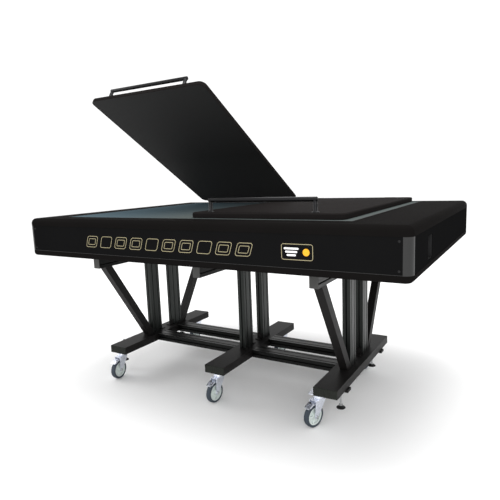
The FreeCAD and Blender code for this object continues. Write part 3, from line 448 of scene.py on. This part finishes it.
def corner_brackets(places, rows, narrow, wide, low_z, high_z):
    """Cast angle brackets with button-head screws where columns meet bars and beams."""
    for side, at_x in zip(("left", "middle", "right"), places):
        for end, at_y, outward in (("front", rows[0], 1), ("rear", rows[1], -1)):
            face = at_y + outward * wide / 2
            for level, base, rise in (("foot", low_z, 1), ("head", high_z, -1)):
                mesh = bmesh.new()
                half = narrow / 2 - 0.006
                leg = sorted((face, face + outward * BRACKET_SHEET))
                sole = sorted((face, face + outward * BRACKET))
                tall = sorted((base, base + rise * BRACKET))
                thin = sorted((base, base + rise * BRACKET_SHEET))
                add_block(mesh, (at_x - half, leg[0], tall[0]), (at_x + half, leg[1], tall[1]))
                add_block(mesh, (at_x - half, sole[0], thin[0]), (at_x + half, sole[1], thin[1]))
                add_lathe(mesh, screw_head(BRACKET_HEAD), 20,
                          axis_place((at_x, face + outward * BRACKET_SHEET, base + rise * BRACKET * 0.6),
                                     (0, outward, 0)))
                piece("bracket_%s_%s_%s" % (side, end, level), mesh, "bar", bevel=0.0008, segments=2)


def screw_head(radius):
    """Profile of a button-head screw with a socket, standing on its local XY plane."""
    return [(radius, 0), (radius, radius * 0.12), (radius * 0.86, radius * 0.4),
            (radius * 0.55, radius * 0.55), (radius * 0.5, radius * 0.55),
            (radius * 0.5, radius * 0.15), (0, radius * 0.15)]


def hexagon(radius):
    """Outline of a hexagon about the origin."""
    return [(radius * math.cos(math.pi / 3 * corner), radius * math.sin(math.pi / 3 * corner))
            for corner in range(6)]


# ------------------------------------------------------------------ casters

TYRE_HALF, RIM_RADIUS, RIM_INSIDE, HUB_RADIUS = 0.016, 0.050, 0.041, 0.0165
RIM_HALF, WEB_HALF, HUB_HALF, BORE = 0.013, 0.004, 0.0185, 0.005
SPOKES = 5
LEG_INSIDE, LEG_SHEET, LEG_TIP = 0.021, 0.004, 0.013
CROWN_LOW, CROWN_SHEET, CROWN_BACK, CROWN_FRONT = 0.146, 0.004, -0.026, 0.046


def caster_place(end):
    """Local frame of a caster on the floor below its swivel, +X the way it trails, and its trail."""
    swivel = Vector(JOINTS["caster_swivel_" + end]["pos_m"])
    wheel = Vector(JOINTS["wheel_spin_" + end]["pos_m"])
    reach = Vector((wheel.x - swivel.x, wheel.y - swivel.y))
    turn = Matrix.Rotation(math.atan2(reach.y, reach.x), 4, "Z")
    return Matrix.Translation((swivel.x, swivel.y, 0)) @ turn, reach.length, wheel.z


def tyre_profile(radius):
    """Closed half-section of a tyre with a crowned tread and rounded shoulders."""
    shoulder = 0.006
    points = [(RIM_RADIUS - 0.001, -TYRE_HALF + 0.002), (RIM_RADIUS + 0.004, -TYRE_HALF)]
    for sign in (-1, 1):
        for step in range(7):
            angle = math.pi / 2 * (step / 6 if sign < 0 else 1 - step / 6)
            points.append((radius - 0.0006 - shoulder + shoulder * math.sin(angle),
                           sign * (TYRE_HALF - shoulder + shoulder * math.cos(angle))))
        if sign < 0:
            points.append((radius, 0))
    return points + [(RIM_RADIUS + 0.004, TYRE_HALF), (RIM_RADIUS - 0.001, TYRE_HALF - 0.002)]


def build_wheel(end, place, trail, radius):
    """Rubber tyre on a nylon rim with spokes and a hub barrel."""
    body = "caster_wheel_" + end
    axle = place @ Matrix.Translation((trail, 0, radius)) @ Matrix.Rotation(-math.pi / 2, 4, "X")
    mesh = bmesh.new()
    add_lathe(mesh, tyre_profile(radius), 72, closed=True)
    piece("tyre_" + end, mesh, "tyre", body, at=axle)
    mesh = bmesh.new()
    add_lathe(mesh, [(RIM_INSIDE, -RIM_HALF + 0.001), (RIM_INSIDE + 0.0015, -RIM_HALF - 0.0006),
                     (RIM_RADIUS - 0.0015, -RIM_HALF - 0.0006), (RIM_RADIUS, -RIM_HALF + 0.001),
                     (RIM_RADIUS, RIM_HALF - 0.001), (RIM_RADIUS - 0.0015, RIM_HALF + 0.0006),
                     (RIM_INSIDE + 0.0015, RIM_HALF + 0.0006), (RIM_INSIDE, RIM_HALF - 0.001)],
              72, closed=True)
    add_lathe(mesh, [(BORE + 0.0002, -HUB_HALF), (HUB_RADIUS - 0.001, -HUB_HALF),
                     (HUB_RADIUS, -HUB_HALF + 0.001),
                     (HUB_RADIUS, HUB_HALF - 0.001), (HUB_RADIUS - 0.001, HUB_HALF),
                     (BORE + 0.0002, HUB_HALF)], 40, closed=True)
    add_lathe(mesh, [(HUB_RADIUS - 0.001, -WEB_HALF), (RIM_INSIDE + 0.001, -WEB_HALF),
                     (RIM_INSIDE + 0.001, WEB_HALF), (HUB_RADIUS - 0.001, WEB_HALF)], 72, closed=True)
    for index in range(SPOKES):
        spoke = bmesh.new()
        add_block(spoke, (HUB_RADIUS - 0.002, -0.0035, -RIM_HALF + 0.002),
                  (RIM_INSIDE + 0.002, 0.0035, RIM_HALF - 0.002))
        spoke.transform(Matrix.Rotation(2 * math.pi * index / SPOKES, 4, "Z"))
        part = bpy.data.meshes.new("spoke")
        spoke.to_mesh(part)
        mesh.from_mesh(part)
        bpy.data.meshes.remove(part)
        spoke.free()
    rim = piece("rim_" + end, mesh, "rim", body, bevel=0.0006, segments=2, at=axle)
    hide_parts(body)


def leg_outline(trail, radius):
    """Side of a fork leg: broad at the crown, with a round end about the axle."""
    points = [(CROWN_FRONT, CROWN_LOW + 0.002), (CROWN_BACK, CROWN_LOW + 0.002),
              (CROWN_BACK, CROWN_LOW - 0.008)]
    for step in range(13):
        angle = math.radians(205 + 155 * step / 12)
        points.append((trail + LEG_TIP * math.cos(angle), radius + LEG_TIP * math.sin(angle)))
    return points


def build_fork(end, place, trail, radius):
    """Pressed fork: two legs, a crown, a raceway ring, the axle bolt and its nuts."""
    body = "caster_fork_" + end
    mesh = bmesh.new()
    for outer in (LEG_INSIDE + LEG_SHEET, -LEG_INSIDE):
        add_prism(mesh, leg_outline(trail, radius), LEG_SHEET, Matrix.Translation((0, outer, 0)) @ UPRIGHT)
    half = LEG_INSIDE + LEG_SHEET
    crown = [(x + (CROWN_BACK + CROWN_FRONT) / 2, y)
             for x, y in rounded_outline(CROWN_FRONT - CROWN_BACK, 2 * half, 0.012)]
    add_prism(mesh, crown, CROWN_SHEET + 0.002, Matrix.Translation((0, 0, CROWN_LOW)))
    add_lathe(mesh, [(0.0085, 0.150), (0.026, 0.150), (0.0275, 0.156), (0.0275, 0.160), (0.025, 0.163),
                     (0.025, 0.166), (0.0265, 0.168), (0.0258, 0.1718), (0.0085, 0.1718)], 48, closed=True)
    fork = piece("fork_" + end, mesh, "zinc", body, bevel=0.0008, segments=2, at=place)
    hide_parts(body)
    mesh = bmesh.new()
    for sign in (-1, 1):
        where = axis_place((trail, sign * half, radius), (0, sign, 0))
        add_prism(mesh, hexagon(0.0088), 0.0055, where)
        add_lathe(mesh, [(0.0045, 0.0), (0.0045, 0.0065), (0.0035, 0.0075), (0, 0.0075)], 20, where)
    piece("axle_nuts_" + end, mesh, "stem", body, bevel=0.0005, segments=2, at=place)


PEDAL_HALF, PEDAL_SHEET, PEDAL_TREADS = 0.0178, 0.0035, 4


def build_pedal(end, place):
    """Brake pedal: a bent steel hood over the tyre with pressed treads and a rubber shoe."""
    body = "brake_pedal_" + end
    pivot = place.inverted() @ Vector(JOINTS["pedal_release_" + end]["pos_m"])
    line = [(pivot.x - 0.004, pivot.z + 0.0015), (pivot.x + 0.010, pivot.z + 0.0030),
            (pivot.x + 0.026, pivot.z + 0.0020), (pivot.x + 0.040, pivot.z - 0.0035),
            (pivot.x + 0.052, pivot.z - 0.0105), (pivot.x + 0.061, pivot.z - 0.0165)]
    outline = line + [(x, z - PEDAL_SHEET) for x, z in line[::-1]]
    mesh = bmesh.new()
    add_prism(mesh, outline, 2 * PEDAL_HALF, Matrix.Translation((0, PEDAL_HALF, 0)) @ UPRIGHT)
    for sign in (-1, 1):
        flange = [line[0], line[2], line[4], (line[4][0] - 0.004, line[4][1] - 0.009),
                  (line[2][0], line[2][1] - 0.011), (line[0][0], line[0][1] - 0.010)]
        start = sign * PEDAL_HALF if sign > 0 else -PEDAL_HALF + 0.0022
        add_prism(mesh, flange, 0.0022, Matrix.Translation((0, start, 0)) @ UPRIGHT)
    for index in range(PEDAL_TREADS):
        share = (index + 0.5) / PEDAL_TREADS
        at_x = pivot.x + 0.034 + 0.026 * share
        at_z = pivot.z - 0.0165 * share
        add_block(mesh, (at_x - 0.0012, -PEDAL_HALF + 0.005, at_z - 0.002),
                  (at_x + 0.0012, PEDAL_HALF - 0.005, at_z + 0.0022))
    pedal = piece("pedal_" + end, mesh, "zinc", body, bevel=0.0006, segments=2, at=place)
    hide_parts(body)
    mesh = bmesh.new()
    add_block(mesh, (pivot.x + 0.016, -0.012, pivot.z - 0.0093),
              (pivot.x + 0.028, 0.012, pivot.z + 0.0005))
    piece("brake_shoe_" + end, mesh, "rubber", body, bevel=0.001, at=place)


PLATE_HALF_X, PLATE_HALF_Y, PLATE_SHEET = 0.043, 0.045, 0.006
BOLT_X, BOLT_Y, BOLT_HEAD = 0.034, 0.036, 0.006


def build_casters():
    """Six casters: mounting plate with four bolts, fork, pedal and wheel."""
    plate_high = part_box("caster_plates")[1]
    for end in ENDS:
        place, trail, radius = caster_place(end)
        spot = place.to_translation()
        mesh = bmesh.new()
        under = plate_high.z - PLATE_SHEET
        add_prism(mesh, rounded_outline(2 * PLATE_HALF_X, 2 * PLATE_HALF_Y, 0.008), PLATE_SHEET,
                  Matrix.Translation((spot.x, spot.y, under)))
        add_lathe(mesh, [(0.008, 0.1725), (0.0285, 0.1725), (0.029, 0.1745), (0.026, 0.179),
                         (0.008, 0.179)], 48, Matrix.Translation((spot.x, spot.y, 0)), closed=True)
        for sign_x in (-1, 1):
            for sign_y in (-1, 1):
                bolt = (spot.x + sign_x * BOLT_X, spot.y + sign_y * BOLT_Y, under)
                add_lathe(mesh, screw_head(BOLT_HEAD), 6, axis_place(bolt, (0, 0, -1)))
        piece("caster_plate_" + end, mesh, "zinc", bevel=0.0006, segments=2)
        build_fork(end, place, trail, radius)
        build_pedal(end, place)
        build_wheel(end, place, trail, radius)
    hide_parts("caster_plates")


# ------------------------------------------------------------------ levelling feet

THREAD_PITCH, THREAD_DEPTH = 0.0035, 0.0007


def build_feet():
    """Levelling feet: moulded pad, hex flange and a stem with a real thread."""
    for end in FOOT_ENDS:
        node = "levelling_foot_" + end
        low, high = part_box(node)
        centre = Matrix.Translation(((low.x + high.x) / 2, (low.y + high.y) / 2, low.z))
        radius = (high.x - low.x) / 2
        mesh = bmesh.new()
        add_lathe(mesh, [(0, 0.0006), (radius * 0.8, 0.0), (radius, 0.0015), (radius, 0.0045),
                         (radius * 0.93, 0.0062), (radius * 0.62, 0.0105), (radius * 0.44, 0.0160),
                         (0.0, 0.0168)], 48)
        pad = piece("foot_pad_" + end, mesh, "rubber", node, at=centre)
        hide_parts(node)
        mesh = bmesh.new()
        add_prism(mesh, hexagon(0.0108), 0.006, Matrix.Translation((0, 0, 0.0165)))
        add_thread(mesh, 0.0059, 0.0225, high.z - low.z)
        piece("foot_stem_" + end, mesh, "stem", node, smooth=50, at=centre)


def add_thread(mesh, radius, start, end, steps=16):
    """A threaded rod: the surface of a rod whose radius follows a helix."""
    rows = round((end - start) / THREAD_PITCH * 4)
    rings = []
    for row in range(rows + 1):
        height = start + (end - start) * row / rows
        ring = []
        for step in range(steps):
            phase = ((height - start) / THREAD_PITCH - step / steps) % 1
            local = radius - THREAD_DEPTH * abs(2 * phase - 1)
            angle = 2 * math.pi * step / steps
            ring.append(mesh.verts.new((local * math.cos(angle), local * math.sin(angle), height)))
        rings.append(ring)
    for lower, upper in zip(rings, rings[1:]):
        for step in range(steps):
            following = (step + 1) % steps
            mesh.faces.new((lower[step], lower[following], upper[following], upper[step]))
    mesh.faces.new(rings[0][::-1])
    mesh.faces.new(rings[-1])


# ------------------------------------------------------------------ lid handles

def lid_turn(side):
    """Turn about the hinge line that takes a shut lid to where it rests."""
    joint = JOINTS[side + "_lid_hinge"]
    opened = -math.radians(joint["range_deg"][0])
    pivot = Vector(joint["pos_m"])
    return (Matrix.Translation(pivot) @ Matrix.Rotation(opened, 4, Vector(joint["axis"]))
            @ Matrix.Translation(-pivot))


def build_handles():
    """Bar handles: a tube with domed plugs on two posts with screwed shoes."""
    low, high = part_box("right_handle")
    shift_to_left = (sum(c.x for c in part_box("left_lid")) - sum(c.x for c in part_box("right_lid"))) / 2
    radius, inset = 0.012, 0.012
    bar_z, middle_y = high.z - radius, (low.y + high.y) / 2
    for side, shift in (("right", 0.0), ("left", shift_to_left)):
        body = side + "_lid"
        turn = lid_turn(side) @ Matrix.Translation((shift, 0, 0))
        mesh = bmesh.new()
        length = high.x - low.x
        add_lathe(mesh, [(0, 0), (radius * 0.7, 0.0006), (radius * 0.97, 0.003), (radius, 0.005),
                         (radius, length - 0.005), (radius * 0.97, length - 0.003),
                         (radius * 0.7, length - 0.0006), (0, length)], 40,
                  axis_place((low.x, middle_y, bar_z), (1, 0, 0)))
        bar = piece(side + "_handle_bar", mesh, "handle", body, smooth=50, at=turn)
        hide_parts(side + "_handle")
        mesh = bmesh.new()
        for at_x in (low.x + inset, high.x - inset):
            foot = Matrix.Translation((at_x, middle_y, low.z))
            add_lathe(mesh, [(0, 0), (0.019, 0), (0.019, 0.0032), (0.0165, 0.005), (0.0128, 0.0062),
                             (0.011, 0.009), (0.011, bar_z - low.z), (0, bar_z - low.z)], 40, foot)
            for sign in (-1, 1):
                screw = Matrix.Translation((at_x + sign * 0.0142, middle_y, low.z + 0.005))
                add_lathe(mesh, screw_head(0.0028), 16, screw)
        piece(side + "_handle_posts", mesh, "handle", body, smooth=50, at=turn)


# ------------------------------------------------------------------ front panel details

STROKE, PRINT_THICK = 0.0028, 0.0006
MOTIF_TALL, MOTIF_WIDE, MOTIF_SLANT, MOTIF_ROUND, MOTIF_INSET = 0.066, 0.086, 0.32, 0.014, 0.0145
MOTIF_FIRST, MOTIF_PITCH, MOTIF_COUNT = -0.625, 0.116, 10
BADGE_X, BADGE_WIDE, BADGE_TALL, BADGE_ROUND = 0.698, 0.156, 0.074, 0.012
SCREW_IN_X, SCREW_IN_Z, SCREW_HEAD = 0.015, 0.018, 0.0055


def add_ring(mesh, outline, inner, thick, place):
    """A flat band between two outlines that have the same number of points."""
    count = len(outline)
    rings = [[mesh.verts.new(place @ Vector((x, y, z))) for x, y in points]
             for points, z in ((outline, 0), (outline, thick), (inner, thick), (inner, 0))]
    for first, second in zip(rings, rings[1:] + rings[:1]):
        for index in range(count):
            following = (index + 1) % count
            mesh.faces.new((first[index], first[following], second[following], second[index]))


def slanted(width, depth, radius, slant):
    """A rounded rectangle that leans sideways."""
    return [(x + slant * y, y) for x, y in rounded_outline(width, depth, radius)]


def build_front():
    """Generic printed motif, badge and screws on the front panel."""
    low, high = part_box("front_panel")
    middle_z = (low.z + high.z) / 2 - 0.004
    mesh = bmesh.new()
    for index in range(MOTIF_COUNT):
        place = Matrix.Translation((MOTIF_FIRST + MOTIF_PITCH * index, low.y, middle_z)) @ UPRIGHT
        for inset in (0.0, MOTIF_INSET):
            wide, tall, bend = MOTIF_WIDE - 2 * inset, MOTIF_TALL - 2 * inset, MOTIF_ROUND - inset / 2
            outer = slanted(wide, tall, bend, MOTIF_SLANT)
            inner = slanted(wide - 2 * STROKE, tall - 2 * STROKE, bend - STROKE, MOTIF_SLANT)
            if inset == 0 or index % 3 != 1:
                add_ring(mesh, outer, inner, PRINT_THICK, place)
    piece("front_motif", mesh, "gold")
    place = Matrix.Translation((BADGE_X, low.y, middle_z + 0.001)) @ UPRIGHT
    mesh = bmesh.new()
    add_ring(mesh, rounded_outline(BADGE_WIDE, BADGE_TALL, BADGE_ROUND),
             rounded_outline(BADGE_WIDE - 2 * STROKE, BADGE_TALL - 2 * STROKE, 0.008), PRINT_THICK, place)
    piece("badge_border", mesh, "gold")
    mesh = bmesh.new()
    for index in range(3):
        spot = place @ Matrix.Translation((-0.028, 0.015 - 0.015 * index, 0))
        add_prism(mesh, rounded_outline(0.074 - 0.014 * index, 0.009, 0.004), PRINT_THICK, spot)
    piece("badge_bars", mesh, "white")
    mesh = bmesh.new()
    add_lathe(mesh, [(0, 0), (0.0165, 0), (0.0165, PRINT_THICK), (0, PRINT_THICK)], 40,
              place @ Matrix.Translation((0.045, 0, 0)))
    piece("badge_disc", mesh, "amber")
    mesh = bmesh.new()
    flat_head = [(radius, height * 0.4) for radius, height in screw_head(SCREW_HEAD)]
    for at_x in (low.x + SCREW_IN_X, high.x - SCREW_IN_X):
        for at_z in (low.z + SCREW_IN_Z, high.z - SCREW_IN_Z):
            add_lathe(mesh, flat_head, 24,
                      Matrix.Translation((at_x, low.y, at_z)) @ UPRIGHT)
    piece("panel_screws", mesh, "rubber")
    mesh = bmesh.new()
    # A thin light strip along the panel's lower edge: a painted highlight.
    add_block(mesh, (low.x, low.y - 0.0008, low.z), (high.x, low.y, low.z + 0.0022))
    piece("panel_edge_painted_highlight", mesh, "post")


def build_gasket():
    """A thin seal round the glass."""
    low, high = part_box("glass_plate")
    gap, width, height = 0.0014, 0.005, 0.0008
    place = Matrix.Translation(((low.x + high.x) / 2, (low.y + high.y) / 2, high.z))
    span, depth = high.x - low.x + 2 * gap, high.y - low.y + 2 * gap
    mesh = bmesh.new()
    add_ring(mesh, rounded_outline(span + 2 * width, depth + 2 * width, 0.008),
             rounded_outline(span, depth, 0.004), height, place)
    piece("glass_seal", mesh, "rubber")


build_stand()
build_casters()
build_feet()
build_handles()
build_front()
build_gasket()


# ------------------------------------------------------------------ stage, light and camera

def area_light(name, at, aim, size, power):
    """A soft light that faces a point."""
    data = bpy.data.lights.new(name, "AREA")
    data.shape = "RECTANGLE"
    data.size, data.size_y = size
    data.energy = power
    lamp = bpy.data.objects.new(name, data)
    bpy.context.scene.collection.objects.link(lamp)
    lamp.location = at
    lamp.rotation_euler = (Vector(aim) - Vector(at)).to_track_quat("-Z", "Y").to_euler()


LIGHTS = (  # name, where it hangs, what it faces, size, power
    ("overhead", (0.4, 0.4, 5.2), (0, 0, 1), (4.5, 3.0), 170),
    ("front_fill", (2.2, -4.6, 2.6), (0, 0, 0.9), (3.0, 2.0), 55),
    ("left_rim", (-4.2, -1.0, 2.6), (0, 0, 1.0), (2.0, 2.0), 45),
)
WORLD_STRENGTH, FLOOR_HALF, FLOOR_SHEET = 1.12, 40, 0.05


def build_stage():
    """Plain pale floor, soft studio light."""
    mesh = bmesh.new()
    add_block(mesh, (-FLOOR_HALF, -FLOOR_HALF, -FLOOR_SHEET), (FLOOR_HALF, FLOOR_HALF, 0))
    data = bpy.data.meshes.new("floor")
    mesh.to_mesh(data)
    mesh.free()
    floor = bpy.data.objects.new("floor", data)
    bpy.context.scene.collection.objects.link(floor)
    data.materials.append(painted("floor_paint", (0.96, 0.96, 0.96), 0.75, spread=0.005, relief=0.02))
    world = bpy.data.worlds.new("studio")
    world.use_nodes = True
    world.node_tree.nodes["Background"].inputs["Color"].default_value = (1, 1, 1, 1)
    world.node_tree.nodes["Background"].inputs["Strength"].default_value = WORLD_STRENGTH
    bpy.context.scene.world = world
    for light in LIGHTS:
        area_light(*light)


CAMERA_AT = (1.61, -2.758, 1.340)
CAMERA_YAW, CAMERA_DOWN, CAMERA_ROLL, CAMERA_LENS = 31.07, 8.6, -2.13, 34.5


def build_camera():
    """The camera looks down at the scanner from its front right."""
    yaw, down, roll = (math.radians(angle) for angle in (CAMERA_YAW, CAMERA_DOWN, CAMERA_ROLL))
    ahead = Vector((-math.sin(yaw) * math.cos(down), math.cos(yaw) * math.cos(down), -math.sin(down)))
    level = Vector((math.cos(yaw), math.sin(yaw), 0))
    above = level.cross(ahead)
    right = level * math.cos(roll) + above * math.sin(roll)
    up = above * math.cos(roll) - level * math.sin(roll)
    camera = bpy.data.objects.new("camera", bpy.data.cameras.new("camera"))
    bpy.context.scene.collection.objects.link(camera)
    camera.data.lens = CAMERA_LENS
    camera.matrix_world = (Matrix.Translation(CAMERA_AT)
                           @ Matrix((right, up, -ahead)).transposed().to_4x4())
    bpy.context.scene.camera = camera


build_stage()
build_camera()
bpy.context.scene.view_settings.view_transform = "Standard"
